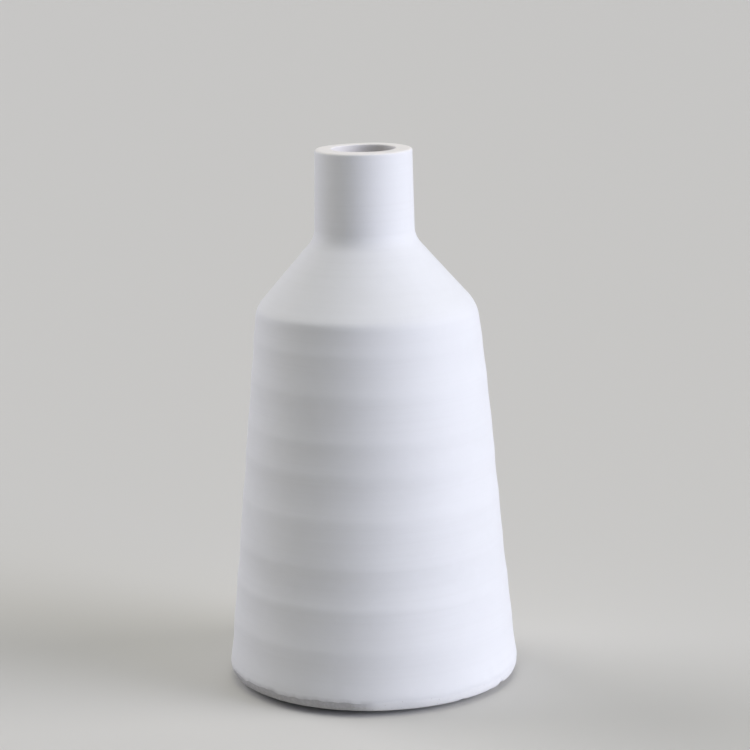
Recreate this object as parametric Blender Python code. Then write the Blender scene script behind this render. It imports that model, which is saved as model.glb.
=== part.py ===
"""Ceramic bud vase: a clay body, an outer and an inner glaze coat, and four rubber feet.

Metres, +Z up. The vase stands on z = 0 and its axis is the Z axis.

The finished surface is one outline of (radius, height) corners. It runs from the middle of the
floor inside, up the inner wall, over the lip and down the outside, always with the wall on its
right. Each coat lies between two copies of that outline, and the clay body begins behind them.
"""

import math

import bmesh
import bpy

# Outside of the finished vase
HEIGHT = 0.2032
FOOT_RADIUS = 0.0555  # where the wall's line, carried on down, meets the table
FLARE_START = 0.0140  # the foot flares out from the wall's line between these two heights
FLARE_END = 0.0064
FLARE = 0.0005
SHOULDER_RADIUS = 0.0420
SHOULDER_HEIGHT = 0.1436
NECK_RADIUS = 0.0189  # where the neck meets the cone
NECK_HEIGHT = 0.1699
LIP_RADIUS = 0.0183
SHOULDER_FILLET = 0.0160
NECK_FILLET = 0.0095
LIP_OUTER_FILLET = 0.0015
LIP_INNER_FILLET = 0.0012

# Wall and floor, with their coats
WALL = 0.0059
FLOOR = 0.0070
FLOOR_FILLET = 0.0090

# Underside of the clay: a flat ring round a shallow recess
FOOT_FILLET = 0.0039
RECESS_RADIUS = 0.0360
RECESS_DEPTH = 0.0020
RECESS_FILLET = 0.0015

# Coats, and the clearance that every piece keeps from its neighbour
GLAZE = 0.0004
GAP = 0.0003
GLAZE_LINE = 0.0056  # the outer coat stops here, just above the rounded bottom edge
GLAZE_JOIN = 0.0060  # how far the outer coat runs down into the mouth

# Rubber feet under the flat ring
RUBBER_THICKNESS = 0.0012
RUBBER_RADIUS = 0.0055
RUBBER_CIRCLE = 0.0440
RUBBER_COUNT = 4
RUBBER_FIRST_ANGLE = math.radians(45)
RUBBER_BEVEL = 0.0003
RUBBER_SEGMENTS = 20

# Fineness
SEGMENTS = 48
ARC_STEP = math.radians(23)
BEVEL_SEGMENTS = 1
MERGE_DISTANCE = 0.00001
SHARP_ANGLE = math.radians(40)

UNDERSIDE = RUBBER_THICKNESS + GAP


def clear_scene():
    """Remove every object, so that the script gives the same result in any file."""
    for item in list(bpy.data.objects):
        bpy.data.objects.remove(item, do_unlink=True)


def make_material(name, color, roughness):
    """A non-metallic Principled material."""
    material = bpy.data.materials.new(name)
    material.use_nodes = True
    shader = material.node_tree.nodes["Principled BSDF"]
    shader.inputs["Base Color"].default_value = (*color, 1.0)
    shader.inputs["Roughness"].default_value = roughness
    shader.inputs["Metallic"].default_value = 0.0
    return material


# Outlines: lists of corners, each (radius, height, fillet)


def direction(start, end):
    """Unit vector from one corner to the next."""
    across = end[0] - start[0]
    up = end[1] - start[1]
    length = math.hypot(across, up)
    return across / length, up / length


def turn(before, after):
    """Signed angle between two directions, negative for a turn to the right."""
    cross = before[0] * after[1] - before[1] * after[0]
    dot = before[0] * after[0] + before[1] * after[1]
    return math.atan2(cross, dot)


def at_height(start, end, height):
    """The square-cut end of an outline, at a height on the line through two corners."""
    share = (height - start[1]) / (end[1] - start[1])
    return start[0] + share * (end[0] - start[0]), height, 0.0


def moved_right(corners, distance):
    """The parallel outline that lies a distance to the right, inside the wall."""
    lines = [direction(a, b) for a, b in zip(corners, corners[1:])]
    moved = []
    for index, (radius, height, fillet) in enumerate(corners):
        before = lines[max(index - 1, 0)]
        after = lines[min(index, len(lines) - 1)]
        angle = turn(before, after)
        # the corner moves along the bisector of the two lines' right-hand normals
        across = before[1] + after[1]
        up = -before[0] - after[0]
        reach = distance / (1.0 + math.cos(angle))
        grown = fillet + math.copysign(distance, angle) if fillet else 0.0
        moved.append((radius + reach * across, height + reach * up, max(grown, 0.0)))
    return moved


def rounded(corners):
    """The outline's points, with each fillet as an arc between its two lines."""
    points = []
    for index, (radius, height, fillet) in enumerate(corners):
        if fillet == 0.0 or index in (0, len(corners) - 1):
            points.append((radius, height))
            continue
        before = direction(corners[index - 1], corners[index])
        after = direction(corners[index], corners[index + 1])
        angle = turn(before, after)
        side = math.copysign(1.0, angle)
        tangent = fillet * math.tan(abs(angle) / 2)
        start = (radius - tangent * before[0], height - tangent * before[1])
        centre = (start[0] - side * fillet * before[1], start[1] + side * fillet * before[0])
        steps = max(1, math.ceil(abs(angle) / ARC_STEP))
        for step in range(steps + 1):
            swept = angle * step / steps
            from_centre = (start[0] - centre[0], start[1] - centre[1])
            points.append(
                (
                    centre[0] + math.cos(swept) * from_centre[0] - math.sin(swept) * from_centre[1],
                    centre[1] + math.sin(swept) * from_centre[0] + math.cos(swept) * from_centre[1],
                )
            )
    return points


def straight_corners():
    """The outside without the foot's flare, from the lip down to the level of the underside."""
    shoulder = (SHOULDER_RADIUS, SHOULDER_HEIGHT, SHOULDER_FILLET)
    foot = at_height(shoulder, (FOOT_RADIUS, 0.0), UNDERSIDE)
    return [
        (LIP_RADIUS, HEIGHT, LIP_OUTER_FILLET),
        (NECK_RADIUS, NECK_HEIGHT, NECK_FILLET),
        shoulder,
        foot,
    ]


def outside_corners():
    """The finished outside, with the foot's slight flare."""
    lip, neck, shoulder, foot = straight_corners()
    flare_start = at_height(shoulder, foot, FLARE_START)
    flare_end = at_height(shoulder, foot, FLARE_END)
    flared = (flare_end[0] + FLARE, FLARE_END, 0.0)
    return [lip, neck, shoulder, flare_start, flared, foot]


def inside_corners():
    """The finished inside, from the middle of the floor up to the mouth."""
    top, neck, shoulder, foot = moved_right(straight_corners(), WALL)
    floor_height = UNDERSIDE + FLOOR
    mouth = at_height(top, neck, HEIGHT)
    edge = at_height(shoulder, foot, floor_height)
    return [
        (0.0, floor_height, 0.0),
        (edge[0], floor_height, FLOOR_FILLET),
        shoulder,
        neck,
        (mouth[0], HEIGHT, LIP_INNER_FILLET),
    ]


def body_outline():
    """The clay's outline, from the middle of the floor, over the lip and to the underside."""
    surface = moved_right(inside_corners() + outside_corners(), GLAZE + GAP)
    foot = at_height(surface[-2], surface[-1], UNDERSIDE)
    surface[-1] = (foot[0], UNDERSIDE, FOOT_FILLET)
    roof = UNDERSIDE + RECESS_DEPTH
    underside = [
        (RECESS_RADIUS, UNDERSIDE, 0.0),
        (RECESS_RADIUS - RECESS_DEPTH, roof, RECESS_FILLET),
        (0.0, roof, 0.0),
    ]
    return rounded(surface + underside)


def outer_glaze_outline():
    """The outer coat's closed outline, from inside the mouth to the glaze line and back."""
    surface = inside_corners()[-2:] + outside_corners()
    sides = []
    for corners in (surface, moved_right(surface, GLAZE)):
        trimmed = list(corners)
        trimmed[0] = at_height(corners[0], corners[1], HEIGHT - GLAZE_JOIN)
        trimmed[-1] = at_height(corners[-2], corners[-1], GLAZE_LINE)
        sides.append(rounded(trimmed))
    return sides[0] + sides[1][::-1]


def inner_glaze_outline():
    """The liner's outline, from the middle of the floor up into the neck and back down."""
    surface = inside_corners()
    sides = []
    for corners in (surface, moved_right(surface, GLAZE)):
        trimmed = list(corners)
        trimmed[-1] = at_height(corners[-2], corners[-1], HEIGHT - GLAZE_JOIN - GAP)
        sides.append(rounded(trimmed))
    return sides[0] + sides[1][::-1]


# Pieces


def add_piece(name, mesh, material, parent):
    """Put a mesh in the scene as one named piece of the vase."""
    mesh.shade_smooth()
    mesh.set_sharp_from_angle(angle=SHARP_ANGLE)
    if not mesh.materials:
        mesh.materials.append(material)
    piece = bpy.data.objects.new(name, mesh)
    bpy.context.collection.objects.link(piece)
    piece.parent = parent
    return piece


def turned_mesh(name, outline, closed):
    """Spin an outline round the Z axis. One that isn't closed starts and ends on the axis."""
    shape = bmesh.new()
    points = [shape.verts.new((radius, 0.0, height)) for radius, height in outline]
    pairs = list(zip(points, points[1:]))
    if closed:
        pairs.append((points[-1], points[0]))
    edges = [shape.edges.new(pair) for pair in pairs]
    bmesh.ops.spin(
        shape,
        geom=points + edges,
        cent=(0.0, 0.0, 0.0),
        axis=(0.0, 0.0, 1.0),
        angle=math.tau,
        steps=SEGMENTS,
        use_merge=True,
    )
    bmesh.ops.remove_doubles(shape, verts=shape.verts, dist=MERGE_DISTANCE)
    bmesh.ops.recalc_face_normals(shape, faces=shape.faces)
    mesh = bpy.data.meshes.new(name)
    shape.to_mesh(mesh)
    shape.free()
    return mesh


def rubber_mesh():
    """One round foot, standing on its own origin."""
    shape = bmesh.new()
    bmesh.ops.create_cone(
        shape,
        cap_ends=True,
        segments=RUBBER_SEGMENTS,
        radius1=RUBBER_RADIUS,
        radius2=RUBBER_RADIUS,
        depth=RUBBER_THICKNESS,
    )
    bmesh.ops.translate(shape, verts=shape.verts, vec=(0.0, 0.0, RUBBER_THICKNESS / 2))
    rims = [edge for edge in shape.edges if edge.verts[0].co.z == edge.verts[1].co.z]
    bmesh.ops.bevel(
        shape,
        geom=rims,
        offset=RUBBER_BEVEL,
        segments=BEVEL_SEGMENTS,
        profile=0.5,
        affect="EDGES",
    )
    mesh = bpy.data.meshes.new("rubber_foot")
    shape.to_mesh(mesh)
    shape.free()
    return mesh


def build():
    clear_scene()
    vase = bpy.data.objects.new("bud_vase", None)
    bpy.context.collection.objects.link(vase)

    clay = make_material("bare_clay", (0.70, 0.69, 0.67), 0.85)
    matt_white = make_material("matt_white_glaze", (0.86, 0.86, 0.86), 0.70)
    liner = make_material("liner_glaze", (0.82, 0.81, 0.79), 0.30)
    rubber = make_material("grey_rubber", (0.06, 0.06, 0.06), 0.80)

    add_piece("vase_body", turned_mesh("vase_body", body_outline(), False), clay, vase)
    add_piece("outer_glaze", turned_mesh("outer_glaze", outer_glaze_outline(), True), matt_white, vase)
    add_piece("inner_glaze", turned_mesh("inner_glaze", inner_glaze_outline(), False), liner, vase)

    disc = rubber_mesh()
    for index in range(RUBBER_COUNT):
        foot = add_piece(f"rubber_foot_{index + 1}", disc, rubber, vase)
        angle = RUBBER_FIRST_ANGLE + index * math.tau / RUBBER_COUNT
        foot.location = (RUBBER_CIRCLE * math.cos(angle), RUBBER_CIRCLE * math.sin(angle), 0.0)
        foot.rotation_euler = (0.0, 0.0, angle)


build()
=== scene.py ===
"""Looks of the ceramic bud vase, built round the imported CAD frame.

The vase is turned clay under two glaze coats, on four rubber feet. Every turned piece is a grid of
rows along an outline and columns round the axis. The side that shows is pushed in or out along its
own normal by the turning rings and by the small unevenness that a potter's hand leaves. The side
that doesn't show lies a little inside the CAD clay. Metres, +Z up.
"""
import math

import bmesh
import bpy
import numpy as np
from mathutils import Matrix, Vector


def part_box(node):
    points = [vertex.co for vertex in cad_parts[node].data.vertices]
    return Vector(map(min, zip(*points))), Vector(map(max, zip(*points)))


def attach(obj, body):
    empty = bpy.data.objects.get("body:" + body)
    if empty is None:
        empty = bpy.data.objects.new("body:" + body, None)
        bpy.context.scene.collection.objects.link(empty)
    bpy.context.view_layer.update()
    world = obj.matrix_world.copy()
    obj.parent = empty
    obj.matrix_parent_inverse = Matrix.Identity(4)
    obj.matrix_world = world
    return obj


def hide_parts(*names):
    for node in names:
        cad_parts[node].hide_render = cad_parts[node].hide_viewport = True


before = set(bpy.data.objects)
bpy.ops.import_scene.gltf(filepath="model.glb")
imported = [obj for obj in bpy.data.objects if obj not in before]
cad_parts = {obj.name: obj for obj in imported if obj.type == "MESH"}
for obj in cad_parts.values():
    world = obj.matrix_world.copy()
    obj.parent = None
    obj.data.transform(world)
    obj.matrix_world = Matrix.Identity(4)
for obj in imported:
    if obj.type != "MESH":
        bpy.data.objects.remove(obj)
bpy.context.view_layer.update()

MM = 0.001
BODY = "root"

# Heights and radii that the frame gives
GLAZE_LOW, GLAZE_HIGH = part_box("outer_glaze")
BODY_LOW, BODY_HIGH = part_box("vase_body")
LIP_HEIGHT = GLAZE_HIGH.z
UNDERSIDE = BODY_LOW.z
GLAZE_LINE = GLAZE_LOW.z
HIDDEN_DEPTH = LIP_HEIGHT - BODY_HIGH.z + 0.5 * MM  # half a millimetre inside the CAD clay
HIDDEN_GAP = 0.05 * MM  # from the back of a coat to the clay behind it
RUBBER_FEET = sorted(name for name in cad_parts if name.startswith("rubber_foot"))

# The outline's corners and the wall, as in the CAD model but with finer edges
FOOT_RADIUS = 55.5 * MM  # where the wall's line, carried on down, meets the table
FLARE_START = 14.0 * MM
FLARE_END = 6.4 * MM
FLARE_FILLET = 60.0 * MM  # eases the wall into the flare
SHOULDER_RADIUS = 42.0 * MM
SHOULDER_HEIGHT = 143.6 * MM
NECK_RADIUS = 18.9 * MM
NECK_HEIGHT = 169.9 * MM
LIP_RADIUS = 18.3 * MM
SHOULDER_FILLET = 16.0 * MM
SHOULDER_CRISP = 5.0 * MM
CRISP_SIDE = math.radians(-120)  # shoulder and rings are crispest here, in front on the left
NECK_FILLET = 9.5 * MM
LIP_OUTER_FILLET = 1.0 * MM
LIP_INNER_FILLET = 0.6 * MM
FLOOR_FILLET = 9.0 * MM
FOOT_FILLET = 3.9 * MM
FOOT_CRISP = 1.6 * MM
FOOT_CRISP_SIDE = math.radians(-20)  # the bottom edge is crispest here, in front on the right
CRISP_FOCUS = 3  # how narrow those crisp sides are
WALL = 5.9 * MM
FLOOR = 7.0 * MM
RECESS_RADIUS = 36.0 * MM
RECESS_DEPTH = 2.0 * MM
RECESS_FILLET = 1.5 * MM
GLAZE_JOIN = 6.0 * MM  # the outer coat runs this far down into the mouth
GLAZE_STEP = 0.15 * MM  # height of the outer coat over the bare clay
GLAZE_TAPER = 1.6 * MM  # how far above its line the coat starts to thin
RUBBER_FILLET = 0.35 * MM

# Fineness
COLUMNS = 300
INNER_COLUMNS = 192
RUBBER_COLUMNS = 48
ROW_SPACING = 0.85 * MM
INNER_SPACING = 1.7 * MM
FINE_SPACING = 0.4 * MM
HIDDEN_SPACING = 8.0 * MM
ARC_STEP = math.radians(10)
MERGE_DISTANCE = 0.001 * MM
SHARP_ANGLE = math.radians(50)
TABLE_STEPS = 200  # fineness of a smoothed table, and how many of its steps are averaged
TABLE_AVERAGE = 25

# Turning rings: crests, with a scallop between that a finger left
RINGS = [  # height of each crest, and depth of the scallop above it
    (8.5 * MM, 0.45 * MM),
    (23.3 * MM, 0.85 * MM),
    (39.0 * MM, 1.25 * MM),
    (54.6 * MM, 0.65 * MM),
    (71.6 * MM, 1.2 * MM),
    (88.6 * MM, 0.5 * MM),
    (100.4 * MM, 0.9 * MM),
    (117.6 * MM, 0.75 * MM),
    (132.5 * MM, 0.6 * MM),
    (143.5 * MM, 0.0),
]
RING_WANDER = 0.5 * MM
RING_SOFTNESS = 0.35  # how round the crests are; a cusp at 0
RING_FADE = 0.10  # how much shallower and deeper each ring gets round the vase
RING_CALM = 0.28  # share of their depth that the rings keep away from the crisp side
RING_FOCUS = 7  # how narrow the crisp side is
INNER_RING_PITCH = 12.0 * MM
INNER_RING_DEPTH = 0.45 * MM
SPIRAL_PITCH = 8.0 * MM
SPIRAL_DEPTH = 0.45 * MM
TRIM_PITCH = 2.6 * MM
TRIM_DEPTH = 0.2 * MM

# Painted shade on the front left of the foot, the side away from the lights: darker bare clay, and
# a ragged darker band at the foot of the white coat
PAINTED_SHADE_HEIGHT = 1.6 * MM  # how far above its line the painted shade reaches up the white coat
PAINTED_SHADE_SIDE = math.radians(-132)  # the middle of the side that gets painted shade, in front on the left
PAINTED_SHADE_REACH = math.radians(52)
PAINTED_SHADE_FADE = math.radians(26)
PAINTED_SHADE_RISE = 1.2 * MM  # the painted shade sets in over this height above the underside

# Unevenness of the hand-turned shape
OUT_OF_ROUND = 0.15 * MM
LIP_WAVE = 0.08 * MM
LIP_REACH = 8.0 * MM  # how far down the lip's roll and wave reach
LIP_BAND = 2.0 * MM  # the rings and the swell set in over the outer part of the lip
LIP_ROLL = 0.5 * MM  # the lip stands in over the bore by this much
BORE_SHIFT = 1.0 * MM  # the mouth is this far off the axis, to the back
GLAZE_LINE_WAVE = 0.8 * MM
GLAZE_LINE_REACH = 8.0 * MM  # how far up the wall the wavering of the line dies out
SWELL = [  # height, and how far the wall stands out over its straight line there
    (6.0 * MM, 0.0),
    (12.0 * MM, 0.0),
    (18.0 * MM, 0.3 * MM),
    (35.0 * MM, 0.25 * MM),
    (50.0 * MM, 0.0),
    (70.0 * MM, 0.2 * MM),
    (95.0 * MM, 0.25 * MM),
    (125.0 * MM, 0.2 * MM),
    (140.0 * MM, -0.05 * MM),
    (155.0 * MM, -0.1 * MM),
    (170.0 * MM, 0.0),
]
LEAN = [  # height, and how far the axis has wandered to the right there
    (10.0 * MM, 0.0),
    (60.0 * MM, 0.0),
    (110.0 * MM, 0.35 * MM),
    (138.0 * MM, 0.2 * MM),
    (152.0 * MM, -0.2 * MM),
    (178.0 * MM, -0.15 * MM),
    (203.0 * MM, 0.05 * MM),
]
NICKS = [  # place round the bottom edge in degrees, size and depth
    (-28.3, 1.4 * MM, 1.9 * MM),
    (-37.0, 1.0 * MM, 0.5 * MM),
    (-53.0, 1.2 * MM, 0.6 * MM),
]

# Noise round the axis: seed, and the fewest and the most waves in a turn
WANDER_NOISE = (3, 1, 4)
ROUND_NOISE = (8, 2, 4)
LIP_NOISE = (13, 2, 6)
PAINTED_SHADE_NOISE = (17, 9, 60)
GLAZE_LINE_NOISE = (21, 5, 70)
RING_FADE_SEED = 5

# Camera, where the photographer stood
CAMERA_DISTANCE = 0.924
CAMERA_HEIGHT = 0.3143
CAMERA_YAW = math.radians(0.1625)
CAMERA_PITCH = math.radians(12.0625)
CAMERA_ROLL = math.radians(-1.186)
CAMERA_LENS = 119.715
CAMERA_SENSOR = 36.0

# Studio: azimuth is measured from the camera's side of the vase towards the right
FLOOR_SIZE = 40.0
FLOOR_COLOR = (0.64, 0.63, 0.60)
FLOOR_ROUGHNESS = 0.9
WORLD_COLOR = (0.90, 0.94, 1.0)
WORLD_STRENGTH = 0.16
LIGHT_ANGLE = math.radians(40)  # every light is a wide soft one
LIGHTS = [  # name, azimuth, elevation, strength, colour
    ("front_right", 60.0, 12.0, 1.11, (0.51, 0.61, 1.0)),
    ("right", 75.0, 25.0, 1.83, (0.99, 0.975, 1.0)),
    ("left_low", -120.0, 12.0, 0.56, (0.65, 0.68, 1.0)),
    ("left", -120.0, 38.0, 0.98, (1.0, 0.985, 0.99)),
    ("top", 0.0, 90.0, 0.77, (1.0, 0.98, 0.84)),
]


# Outlines: lists of corners, each (radius, height, fillet), with the wall on their right


def direction(start, end):
    """Unit vector from one corner to the next."""
    across = end[0] - start[0]
    up = end[1] - start[1]
    length = math.hypot(across, up)
    return across / length, up / length


def turn(before, after):
    """Signed angle between two directions, negative for a turn to the right."""
    cross = before[0] * after[1] - before[1] * after[0]
    dot = before[0] * after[0] + before[1] * after[1]
    return math.atan2(cross, dot)


def at_height(start, end, height):
    """The square-cut end of an outline, at a height on the line through two corners."""
    share = (height - start[1]) / (end[1] - start[1])
    return start[0] + share * (end[0] - start[0]), height, 0.0


def moved_right(corners, distance):
    """The parallel outline that lies a distance to the right, inside the wall."""
    lines = [direction(a, b) for a, b in zip(corners, corners[1:])]
    moved = []
    for index, (radius, height, fillet) in enumerate(corners):
        before = lines[max(index - 1, 0)]
        after = lines[min(index, len(lines) - 1)]
        angle = turn(before, after)
        reach = distance / (1.0 + math.cos(angle))
        across = before[1] + after[1]
        up = -before[0] - after[0]
        grown = fillet + math.copysign(distance, angle) if fillet else 0.0
        moved.append((radius + reach * across, height + reach * up, max(grown, 0.0)))
    return moved


def fillet_arc(before_corner, corner, after_corner, spacing):
    """Points of the arc that rounds a corner."""
    radius, height, fillet = corner
    before = direction(before_corner, corner)
    after = direction(corner, after_corner)
    angle = turn(before, after)
    side = math.copysign(1.0, angle)
    tangent = fillet * math.tan(abs(angle) / 2)
    start = (radius - tangent * before[0], height - tangent * before[1])
    centre = (start[0] - side * fillet * before[1], start[1] + side * fillet * before[0])
    across = start[0] - centre[0]
    up = start[1] - centre[1]
    steps = math.ceil(max(abs(angle) / ARC_STEP, abs(angle) * fillet / spacing))
    arc = []
    for step in range(steps + 1):
        cos = math.cos(angle * step / steps)
        sin = math.sin(angle * step / steps)
        arc.append((centre[0] + cos * across - sin * up, centre[1] + sin * across + cos * up))
    return arc


def rounded(corners, spacing):
    """The outline's points: fillets as arcs, and straight lines cut to the spacing."""
    points = []
    for index, corner in enumerate(corners):
        if corner[2] == 0.0 or index in (0, len(corners) - 1):
            arc = [corner[:2]]
        else:
            arc = fillet_arc(corners[index - 1], corner, corners[index + 1], spacing)
        if points:
            start, end = points[-1], arc[0]
            parts = math.ceil(math.dist(start, end) / spacing)
            for part in range(1, parts):
                share = part / parts
                across = start[0] + share * (end[0] - start[0])
                points.append((across, start[1] + share * (end[1] - start[1])))
        points.extend(arc)
    return np.array(points)


def straight_corners():
    """The outside without the foot's flare, from the lip down to the level of the underside."""
    shoulder = (SHOULDER_RADIUS, SHOULDER_HEIGHT, SHOULDER_FILLET)
    return [
        (LIP_RADIUS, LIP_HEIGHT, LIP_OUTER_FILLET),
        (NECK_RADIUS, NECK_HEIGHT, NECK_FILLET),
        shoulder,
        at_height(shoulder, (FOOT_RADIUS, 0.0), UNDERSIDE),
    ]


def outside_corners():
    """The finished outside, with the foot's flare out to the frame's greatest radius."""
    lip, neck, shoulder, foot = straight_corners()
    flare_start = (*at_height(shoulder, foot, FLARE_START)[:2], FLARE_FILLET)
    return [lip, neck, shoulder, flare_start, (GLAZE_HIGH.x, FLARE_END, 0.0), foot]


def inside_corners():
    """The finished inside, from the middle of the floor up to the mouth."""
    top, neck, shoulder, foot = moved_right(straight_corners(), WALL)
    floor_height = UNDERSIDE + FLOOR
    edge = at_height(shoulder, foot, floor_height)
    return [
        (0.0, floor_height, 0.0),
        (edge[0], floor_height, FLOOR_FILLET),
        shoulder,
        neck,
        (at_height(top, neck, LIP_HEIGHT)[0], LIP_HEIGHT, LIP_INNER_FILLET),
    ]


# Patterns round and along the turned surfaces


def smooth(low, high, value):
    """0 below low, 1 above high, and a smooth rise between."""
    share = np.clip((value - low) / (high - low), 0.0, 1.0)
    return share * share * (3.0 - 2.0 * share)


def round_noise(angles, seed, lowest, highest):
    """Seamless noise round the axis, from -1 to 1, with this range of waves in a turn."""
    rng = np.random.default_rng(seed)
    total = np.zeros_like(angles)
    for waves in range(lowest, highest + 1):
        size = rng.normal() / math.sqrt(waves)
        total += size * np.sin(waves * angles + rng.uniform(0.0, math.tau))
    return total / np.abs(total).max()


def inward(amount, angles, noise):
    """Unevenness round the axis that only pushes in, from 0 to the amount."""
    return amount * (1.0 + round_noise(angles, *noise)[None, :]) / 2


def facing(angles, side, focus):
    """1 on one side of the vase and 0 opposite, the narrower the higher the focus."""
    return ((1.0 + np.cos(angles - side)) / 2) ** focus


def ring_push(heights, angles):
    """How far the outside's scallops lie inside the outline."""
    crests, depths = np.array(RINGS).T
    wandered = heights[:, None] + RING_WANDER * round_noise(angles, *WANDER_NOISE)[None, :]
    index = np.clip(np.searchsorted(crests, wandered) - 1, 0, len(crests) - 2)
    share = (wandered - crests[index]) / (crests[index + 1] - crests[index])
    share = np.clip(share, 0.0, 1.0)
    phase = np.random.default_rng(RING_FADE_SEED).uniform(0.0, math.tau, len(RINGS))[index]
    fade = 1.0 + RING_FADE * np.cos(2.0 * angles + phase)
    crispness = RING_CALM + (1.0 - RING_CALM) * facing(angles, CRISP_SIDE, RING_FOCUS)
    scallop = np.hypot(4.0 * share * (1.0 - share), RING_SOFTNESS) - RING_SOFTNESS
    return depths[index] * fade * crispness * scallop


def stained_side(angles):
    """1 where the bottom of the wall gets painted shade, on the side away from the lights, and 0
    round the rest of the vase.
    """
    away = np.arccos(np.cos(angles - PAINTED_SHADE_SIDE))
    away = away + PAINTED_SHADE_FADE / 2 * round_noise(angles, *PAINTED_SHADE_NOISE)
    return smooth(PAINTED_SHADE_REACH, PAINTED_SHADE_REACH - PAINTED_SHADE_FADE, away)[None, :]


def out_of_round(angles):
    """How far the clay's roundness falls short of a true circle."""
    return inward(OUT_OF_ROUND, angles, ROUND_NOISE)


def between(table, heights):
    """A value that a table gives for some heights, smoothly joined between them."""
    known, amounts = zip(*table)
    fine = np.linspace(known[0], known[-1], TABLE_STEPS)
    padded = np.pad(np.interp(fine, known, amounts), TABLE_AVERAGE // 2, mode="edge")
    soft = np.convolve(padded, np.full(TABLE_AVERAGE, 1 / TABLE_AVERAGE), mode="valid")
    return np.interp(heights, fine, soft)


def fillet_height(distance, radius, half_turn):
    """How far a sharp corner stands out over its fillet, at a distance along its sides."""
    return np.clip(radius * math.tan(half_turn) - distance, 0.0, None) ** 2 / (2.0 * radius)


def crisper(points, angles, before, corner, after, radius, side):
    """Push that makes a corner crisper than its fillet on one side of the vase."""
    half_turn = abs(turn(direction(before, corner), direction(corner, after))) / 2
    distance = np.linalg.norm(points - np.array(corner[:2]), axis=1)[:, None]
    sharper = fillet_height(distance, corner[2], half_turn)
    sharper = sharper - fillet_height(distance, radius, half_turn)
    return -sharper * facing(angles, side, CRISP_FOCUS)


def bore_shift(grid):
    """How far the inside of the neck is off the axis."""
    radius = np.hypot(grid[:, :, 0], grid[:, :, 1])
    inside = 1.0 - smooth(LIP_RADIUS - WALL, LIP_RADIUS, radius)
    return BORE_SHIFT * inside * smooth(SHOULDER_HEIGHT, NECK_HEIGHT, grid[:, :, 2])


def glaze_line_lift(heights, angles):
    """How far the surface near the glaze line moves up, as the line wavers round the foot."""
    below = smooth(UNDERSIDE, GLAZE_LINE, heights)
    above = 1.0 - smooth(GLAZE_LINE, GLAZE_LINE + GLAZE_LINE_REACH, heights)
    wave = GLAZE_LINE_WAVE * round_noise(angles, *GLAZE_LINE_NOISE)[None, :]
    return below * above * wave


# Turned meshes


def turn_angles(columns):
    """One angle for each column of a turned grid."""
    return np.linspace(0.0, math.tau, columns, endpoint=False)


def turned_grid(points, angles, push=0.0):
    """Positions of an outline spun round the axis and pushed in, to its right."""
    along = np.gradient(points, axis=0)
    along /= np.linalg.norm(along, axis=1)[:, None]
    push = np.broadcast_to(push, (len(points), len(angles)))
    radius = np.maximum(points[:, :1] + along[:, 1:] * push, 0.0)
    height = points[:, 1:] - along[:, :1] * push
    return np.stack([radius * np.cos(angles), radius * np.sin(angles), height], axis=-1)


def make_piece(name, grid, loop, material, slot, node, place=(0.0, 0.0, 0.0), **shade):
    """One closed turned piece that stands for a CAD node. Rows on the axis become a point.

    The shade is surface attributes that the material reads, each with a value for every point.
    """
    rows, columns = grid.shape[:2]
    row = np.arange(rows if loop else rows - 1)[:, None]
    column = np.arange(columns)[None, :]
    below = (row + 1) % rows
    beside = (column + 1) % columns
    corners = (
        row * columns + column,
        below * columns + column,
        below * columns + beside,
        row * columns + beside,
    )
    faces = np.stack(corners, axis=-1).reshape(-1, 4)
    grid[:, :, 1] += bore_shift(grid)
    grid[:, :, 0] += between(LEAN, grid[:, :, 2])
    mesh = bpy.data.meshes.new(name)
    mesh.from_pydata(grid.reshape(-1, 3).tolist(), [], faces.tolist())
    for label, values in shade.items():
        attribute = mesh.attributes.new(label, "FLOAT", "POINT")
        attribute.data.foreach_set("value", values.ravel())
    shape = bmesh.new()
    shape.from_mesh(mesh)
    bmesh.ops.remove_doubles(shape, verts=shape.verts, dist=MERGE_DISTANCE)
    bmesh.ops.recalc_face_normals(shape, faces=shape.faces)
    shape.to_mesh(mesh)
    shape.free()
    mesh.shade_smooth()
    mesh.set_sharp_from_angle(angle=SHARP_ANGLE)
    mesh.materials.append(material)
    piece = bpy.data.objects.new(name, mesh)
    piece.location = place
    bpy.context.scene.collection.objects.link(piece)
    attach(piece, BODY)
    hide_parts(node)
    return piece


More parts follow.
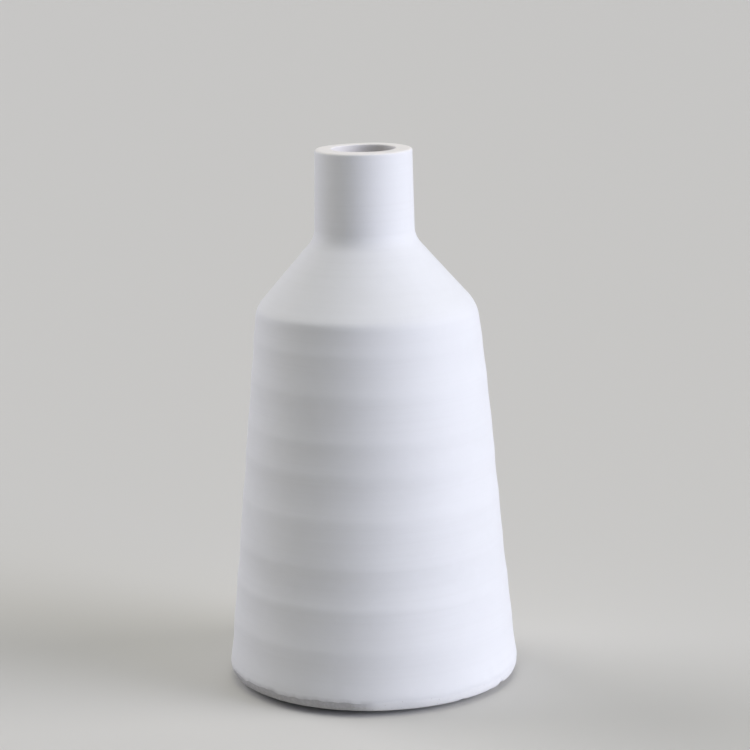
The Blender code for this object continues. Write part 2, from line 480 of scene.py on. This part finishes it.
def make_outer_coat(material):
    """The matt white coat, from inside the mouth to its uneven line above the foot."""
    angles = turn_angles(COLUMNS)
    surface = inside_corners()[-2:] + outside_corners()
    start_height = LIP_HEIGHT - GLAZE_JOIN
    shown = list(surface)
    shown[0] = at_height(surface[0], surface[1], start_height)
    shown[-1] = at_height(surface[-2], surface[-1], GLAZE_LINE)
    points = rounded(shown, ROW_SPACING)
    near_lip = smooth(LIP_HEIGHT - LIP_REACH, LIP_HEIGHT, points[:, 1:])
    inwards = 1.0 - smooth(LIP_RADIUS - WALL, LIP_RADIUS, points[:, :1])
    points[:, :1] -= LIP_ROLL * near_lip * inwards
    on_outside = smooth(LIP_RADIUS - LIP_BAND, LIP_RADIUS, points[:, :1])
    push = ring_push(points[:, 1], angles) * on_outside + out_of_round(angles)
    neck, shoulder, flare_start = surface[-5:-2]
    push += crisper(points, angles, neck, shoulder, flare_start, SHOULDER_CRISP, CRISP_SIDE)
    push += GLAZE_STEP * smooth(GLAZE_LINE + GLAZE_TAPER, GLAZE_LINE, points[:, 1:])
    push -= between(SWELL, points[:, 1:]) * on_outside
    front = turned_grid(points, angles, push)
    front[:, :, 2] -= near_lip * inward(LIP_WAVE, angles, LIP_NOISE)

    hidden = moved_right(surface, HIDDEN_DEPTH)
    hidden[0] = at_height(hidden[0], hidden[1], start_height)
    hidden[-1] = at_height(hidden[-2], hidden[-1], GLAZE_LINE)
    back = turned_grid(rounded(hidden, HIDDEN_SPACING)[::-1], angles)
    grid = np.concatenate([front, back])
    grid[:, :, 2] += glaze_line_lift(grid[:, :, 2], angles)
    # the rim and the inside of the mouth get a lighter, warmer colour: partly a thinner glaze,
    # partly painted warm light
    on_lip = smooth(LIP_HEIGHT - LIP_OUTER_FILLET, LIP_HEIGHT, points[:, 1:])
    thin = np.zeros(grid.shape[:2])
    thin[: len(points)] = np.maximum(on_lip, inwards)
    # painted shade on the lowest band of the coat, on the front left
    near_line = smooth(GLAZE_LINE + PAINTED_SHADE_HEIGHT, GLAZE_LINE, points[:, 1:])
    stain = np.zeros(grid.shape[:2])
    stain[: len(points)] = near_line * stained_side(angles)
    slot = "matt_white_glaze"
    node = "outer_glaze"
    return make_piece("outer_glaze_coat", grid, True, material, slot, node, thin=thin, stain=stain)


def nick_push(grid):
    """Small chips out of the bottom edge."""
    push = np.zeros(grid.shape[:2])
    for degrees, size, depth in NICKS:
        angle = math.radians(degrees)
        radius = GLAZE_HIGH.x - FOOT_FILLET / 2
        centre = np.array([radius * math.cos(angle), radius * math.sin(angle), UNDERSIDE])
        distance = np.linalg.norm(grid - centre, axis=-1)
        push += depth * np.exp(-((distance / size) ** 2))
    return push


def make_clay(material):
    """The clay body: hidden behind the coats, bare along the foot and on the underside."""
    angles = turn_angles(COLUMNS)
    surface = inside_corners() + outside_corners()
    edge = at_height(surface[-2], surface[-1], GLAZE_LINE)
    hidden = moved_right(surface, HIDDEN_DEPTH + HIDDEN_GAP)
    hidden[-1] = at_height(hidden[-2], hidden[-1], GLAZE_LINE)

    roof = UNDERSIDE + RECESS_DEPTH
    bare = [
        (edge[0] - GLAZE_STEP, GLAZE_LINE, 0.0),
        (surface[-1][0] - GLAZE_STEP, UNDERSIDE, FOOT_FILLET),
        (RECESS_RADIUS, UNDERSIDE, 0.0),
        (RECESS_RADIUS - RECESS_DEPTH, roof, RECESS_FILLET),
        (0.0, roof, 0.0),
    ]
    points = rounded(bare, FINE_SPACING)
    below = 1.0 - smooth(UNDERSIDE, UNDERSIDE + FOOT_FILLET, points[:, 1])
    off_axis = smooth(0.0, SPIRAL_PITCH, points[:, 0])
    spiral = np.cos(math.tau * points[:, :1] / TRIM_PITCH + angles[None, :])
    trimming = TRIM_DEPTH * (1.0 + spiral) / 2 * (below * off_axis)[:, None]
    push = trimming + out_of_round(angles) * off_axis[:, None]
    push += crisper(points, angles, *bare[:3], FOOT_CRISP, FOOT_CRISP_SIDE)
    push += nick_push(turned_grid(points, angles))
    back = turned_grid(rounded(hidden, HIDDEN_SPACING), angles)
    grid = np.concatenate([back, turned_grid(points, angles, push)])
    # the waver stays on the outer side of the wall, clear of the liner
    outside = np.hypot(grid[:, :, 0], grid[:, :, 1]) > GLAZE_HIGH.x - WALL
    grid[:, :, 2] += outside * glaze_line_lift(grid[:, :, 2], angles)
    # painted shade on the bare clay of the foot, on the front left
    on_foot = smooth(UNDERSIDE, UNDERSIDE + PAINTED_SHADE_RISE, points[:, 1:])
    on_foot = on_foot * smooth(RECESS_RADIUS, edge[0] - FOOT_FILLET, points[:, :1])
    stain = np.zeros(grid.shape[:2])
    stain[len(back) :] = on_foot * stained_side(angles)
    return make_piece("clay_body", grid, False, material, "bare_clay", "vase_body", stain=stain)


def make_liner(material):
    """The liner glaze, with the rings and the spiral that a hand leaves inside."""
    angles = turn_angles(INNER_COLUMNS)
    surface = inside_corners()
    end_height = LIP_HEIGHT - GLAZE_JOIN
    shown = list(surface)
    shown[-1] = at_height(surface[-2], surface[-1], end_height)
    points = rounded(shown, INNER_SPACING)
    hidden = moved_right(surface, HIDDEN_DEPTH)
    hidden[-1] = at_height(hidden[-2], hidden[-1], end_height)

    radius, height = points[:, :1], points[:, 1:]
    floor_height = UNDERSIDE + FLOOR
    on_wall = smooth(floor_height, floor_height + FLOOR_FILLET, height)
    on_wall = on_wall * (1.0 - smooth(NECK_HEIGHT - WALL, NECK_HEIGHT + WALL, height))
    wall_wave = np.cos(math.tau * height / INNER_RING_PITCH + angles[None, :])
    floor_wave = np.cos(math.tau * radius / SPIRAL_PITCH + angles[None, :])
    off_axis = smooth(0.0, SPIRAL_PITCH, radius)
    on_floor = off_axis * (1.0 - smooth(0.0, FLOOR_FILLET, height - floor_height))
    push = INNER_RING_DEPTH * on_wall * (1.0 + wall_wave) / 2
    push += SPIRAL_DEPTH * on_floor * (1.0 + floor_wave) / 2
    push += out_of_round(angles) * off_axis
    front = turned_grid(points, angles, push)
    back = turned_grid(rounded(hidden, HIDDEN_SPACING)[::-1], angles)
    grid = np.concatenate([front, back])
    return make_piece("inner_glaze_liner", grid, False, material, "liner_glaze", "inner_glaze")


def make_rubber_foot(node, material):
    """A soft-edged disc that fills the height between the table and the clay."""
    low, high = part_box(node)
    radius = (high.x - low.x) / 2
    corners = [
        (0.0, UNDERSIDE, 0.0),
        (radius, UNDERSIDE, RUBBER_FILLET),
        (radius, low.z, RUBBER_FILLET),
        (0.0, low.z, 0.0),
    ]
    grid = turned_grid(rounded(corners, ROW_SPACING), turn_angles(RUBBER_COLUMNS))
    place = ((low.x + high.x) / 2, (low.y + high.y) / 2, 0.0)
    return make_piece(node + "_disc", grid, False, material, "grey_rubber", node, place)


# Materials


class Nodes:
    """Short ways to add and join the nodes of one material."""

    def __init__(self, name):
        self.material = bpy.data.materials.new(name)
        self.material.use_nodes = True
        self.tree = self.material.node_tree
        self.shader = self.tree.nodes["Principled BSDF"]
        self.position = self.add("ShaderNodeTexCoord").outputs["Object"]

    def add(self, kind, **settings):
        node = self.tree.nodes.new(kind)
        for name, value in settings.items():
            setattr(node, name, value)
        return node

    def join(self, output, socket):
        self.tree.links.new(output, socket)

    def noise(self, scale, detail=3.0, stretch=(1.0, 1.0, 1.0)):
        """Noise over the object's own position, in waves a metre."""
        mapping = self.add("ShaderNodeMapping")
        mapping.inputs["Scale"].default_value = stretch
        self.join(self.position, mapping.inputs["Vector"])
        noise = self.add("ShaderNodeTexNoise")
        noise.inputs["Scale"].default_value = scale
        noise.inputs["Detail"].default_value = detail
        self.join(mapping.outputs["Vector"], noise.inputs["Vector"])
        return noise.outputs["Fac"]

    def spread(self, value, low, high, to_low, to_high):
        """A value's range moved to another, and kept inside it."""
        spread = self.add("ShaderNodeMapRange")
        self.join(value, spread.inputs["Value"])
        numbers = (low, high, to_low, to_high)
        for name, number in zip(("From Min", "From Max", "To Min", "To Max"), numbers):
            spread.inputs[name].default_value = number
        return spread.outputs["Result"]

    def patch(self, attribute, value, low, high, least, most):
        """A surface attribute, weakened unevenly by a value's range."""
        product = self.add("ShaderNodeMath", operation="MULTIPLY")
        patch = self.add("ShaderNodeAttribute", attribute_name=attribute)
        self.join(patch.outputs["Fac"], product.inputs[0])
        self.join(self.spread(value, low, high, least, most), product.inputs[1])
        return product.outputs["Value"]

    def blend(self, share, first, second):
        """One colour, or the output of another node, mixed into another by a share."""
        mix = self.add("ShaderNodeMix", data_type="RGBA")
        self.join(share, mix.inputs["Factor"])
        for name, color in (("A", first), ("B", second)):
            socket = next(s for s in mix.inputs if s.name == name and s.type == "RGBA")
            if isinstance(color, tuple):
                socket.default_value = (*color, 1.0)
            else:
                self.join(color, socket)
        return next(s for s in mix.outputs if s.type == "RGBA")

    def tint(self, value, low, high, strength, first, second):
        """One colour mixed into another where a value goes from low to high."""
        return self.blend(self.spread(value, low, high, 0.0, strength), first, second)

    def bump(self, value, height, before=None):
        """Relief of a height in metres, over the relief before it."""
        bump = self.add("ShaderNodeBump")
        bump.inputs["Distance"].default_value = height
        self.join(value, bump.inputs["Height"])
        if before:
            self.join(before, bump.inputs["Normal"])
        return bump.outputs["Normal"]

    def finish(self, color, roughness, relief):
        self.join(color, self.shader.inputs["Base Color"])
        self.join(roughness, self.shader.inputs["Roughness"])
        self.join(relief, self.shader.inputs["Normal"])
        return self.material


def matt_white_glaze():
    """A dry, chalky white: faint clouding, finger streaks and a fine grain."""
    nodes = Nodes("matt_white_glaze")
    clouds = nodes.noise(28.0)
    streaks = nodes.noise(14.0, 4.0, (1.0, 1.0, 60.0))
    mottle = nodes.noise(260.0)
    grain = nodes.noise(2200.0, 2.0)
    painted_shade_fray = nodes.noise(260.0, 2.0, (1.0, 1.0, 0.5))
    color = nodes.tint(clouds, 0.35, 0.65, 1.0, (0.82, 0.82, 0.815), (0.85, 0.85, 0.845))
    color = nodes.tint(streaks, 0.45, 0.75, 0.25, color, (0.79, 0.785, 0.775))
    color = nodes.tint(mottle, 0.5, 0.75, 0.25, color, (0.87, 0.87, 0.87))
    # painted warm light and thinner glaze: the rim and the mouth lighter and warmer
    thin = nodes.patch("thin", mottle, 0.3, 0.6, 0.6, 1.0)
    color = nodes.blend(thin, color, (0.92, 0.885, 0.845))
    # painted shade: a ragged darker band at the foot of the coat, on the front left
    coat_painted_shade = nodes.patch("stain", painted_shade_fray, 0.35, 0.65, 0.2, 0.8)
    color = nodes.blend(coat_painted_shade, color, (0.50, 0.49, 0.48))
    roughness = nodes.spread(mottle, 0.3, 0.7, 0.62, 0.74)
    relief = nodes.bump(streaks, 0.017 * MM)
    relief = nodes.bump(mottle, 0.02 * MM, relief)
    relief = nodes.bump(grain, 0.012 * MM, relief)
    return nodes.finish(color, roughness, relief)


def bare_clay():
    """Fired white stoneware: sandy, with dark grains, and painted shade on one side of the foot.
    """
    nodes = Nodes("bare_clay")
    sand = nodes.noise(900.0, 4.0)
    patches = nodes.noise(60.0)
    specks = nodes.noise(1500.0, 0.0)
    color = nodes.tint(patches, 0.35, 0.65, 1.0, (0.80, 0.795, 0.785), (0.85, 0.845, 0.835))
    color = nodes.tint(sand, 0.35, 0.7, 0.4, color, (0.87, 0.865, 0.855))
    # painted shade: the bare clay darker on the front left of the foot
    stain = nodes.patch("stain", sand, 0.3, 0.6, 0.8, 1.0)
    color = nodes.blend(stain, color, (0.465, 0.457, 0.45))
    color = nodes.tint(specks, 0.78, 0.82, 0.5, color, (0.42, 0.38, 0.33))
    roughness = nodes.spread(sand, 0.3, 0.7, 0.80, 0.95)
    relief = nodes.bump(sand, 0.06 * MM)
    return nodes.finish(color, roughness, relief)


def liner_glaze():
    """A thin satin glaze, warmer where it pools."""
    nodes = Nodes("liner_glaze")
    pools = nodes.noise(40.0)
    ripple = nodes.noise(180.0)
    color = nodes.tint(pools, 0.35, 0.65, 1.0, (0.76, 0.74, 0.70), (0.82, 0.81, 0.78))
    roughness = nodes.spread(ripple, 0.3, 0.7, 0.24, 0.38)
    relief = nodes.bump(ripple, 0.06 * MM)
    return nodes.finish(color, roughness, relief)


def grey_rubber():
    """Dark rubber with a faint moulded grain."""
    nodes = Nodes("grey_rubber")
    wear = nodes.noise(400.0)
    grain = nodes.noise(3000.0)
    color = nodes.tint(wear, 0.35, 0.7, 1.0, (0.045, 0.045, 0.047), (0.085, 0.085, 0.085))
    roughness = nodes.spread(wear, 0.3, 0.7, 0.70, 0.90)
    relief = nodes.bump(grain, 0.02 * MM)
    return nodes.finish(color, roughness, relief)


# Studio


def make_floor():
    """A plain pale floor."""
    shape = bmesh.new()
    bmesh.ops.create_grid(shape, x_segments=1, y_segments=1, size=FLOOR_SIZE / 2)
    mesh = bpy.data.meshes.new("floor")
    shape.to_mesh(mesh)
    shape.free()
    material = bpy.data.materials.new("pale_floor")
    material.use_nodes = True
    shader = material.node_tree.nodes["Principled BSDF"]
    shader.inputs["Base Color"].default_value = (*FLOOR_COLOR, 1.0)
    shader.inputs["Roughness"].default_value = FLOOR_ROUGHNESS
    mesh.materials.append(material)
    floor = bpy.data.objects.new("floor", mesh)
    bpy.context.scene.collection.objects.link(floor)


def make_light(name, azimuth, elevation, strength, color):
    """A wide, even light from far away."""
    data = bpy.data.lights.new(name, "SUN")
    data.angle = LIGHT_ANGLE
    data.energy = strength
    data.color = color
    side = math.radians(azimuth)
    up = math.radians(elevation)
    towards = Vector(
        (math.sin(side) * math.cos(up), -math.cos(side) * math.cos(up), math.sin(up))
    )
    light = bpy.data.objects.new(name, data)
    light.rotation_euler = towards.to_track_quat("Z", "Y").to_euler()
    bpy.context.scene.collection.objects.link(light)


def make_world():
    """A faint, even light from all round."""
    world = bpy.data.worlds.new("studio")
    world.use_nodes = True
    background = world.node_tree.nodes["Background"]
    background.inputs["Color"].default_value = (*WORLD_COLOR, 1.0)
    background.inputs["Strength"].default_value = WORLD_STRENGTH
    bpy.context.scene.world = world


def make_camera():
    """The photographer's view: level axes turned by yaw and pitch, then rolled."""
    forward = Vector(
        (
            math.sin(CAMERA_YAW) * math.cos(CAMERA_PITCH),
            math.cos(CAMERA_YAW) * math.cos(CAMERA_PITCH),
            -math.sin(CAMERA_PITCH),
        )
    )
    level = Vector((math.cos(CAMERA_YAW), -math.sin(CAMERA_YAW), 0.0))
    above = level.cross(forward)
    right = level * math.cos(CAMERA_ROLL) + above * math.sin(CAMERA_ROLL)
    up = above * math.cos(CAMERA_ROLL) - level * math.sin(CAMERA_ROLL)
    data = bpy.data.cameras.new("camera")
    data.lens = CAMERA_LENS
    data.sensor_width = CAMERA_SENSOR
    camera = bpy.data.objects.new("camera", data)
    turned = Matrix((right, up, -forward)).transposed().to_4x4()
    camera.matrix_world = Matrix.Translation((0.0, -CAMERA_DISTANCE, CAMERA_HEIGHT)) @ turned
    bpy.context.scene.collection.objects.link(camera)
    bpy.context.scene.camera = camera


def build():
    """The vase's pieces and the studio round them."""
    make_outer_coat(matt_white_glaze())
    make_clay(bare_clay())
    make_liner(liner_glaze())
    rubber = grey_rubber()
    for node in RUBBER_FEET:
        make_rubber_foot(node, rubber)
    make_floor()
    for light in LIGHTS:
        make_light(*light)
    make_world()
    make_camera()
    bpy.context.scene.view_settings.view_transform = "Standard"


build()
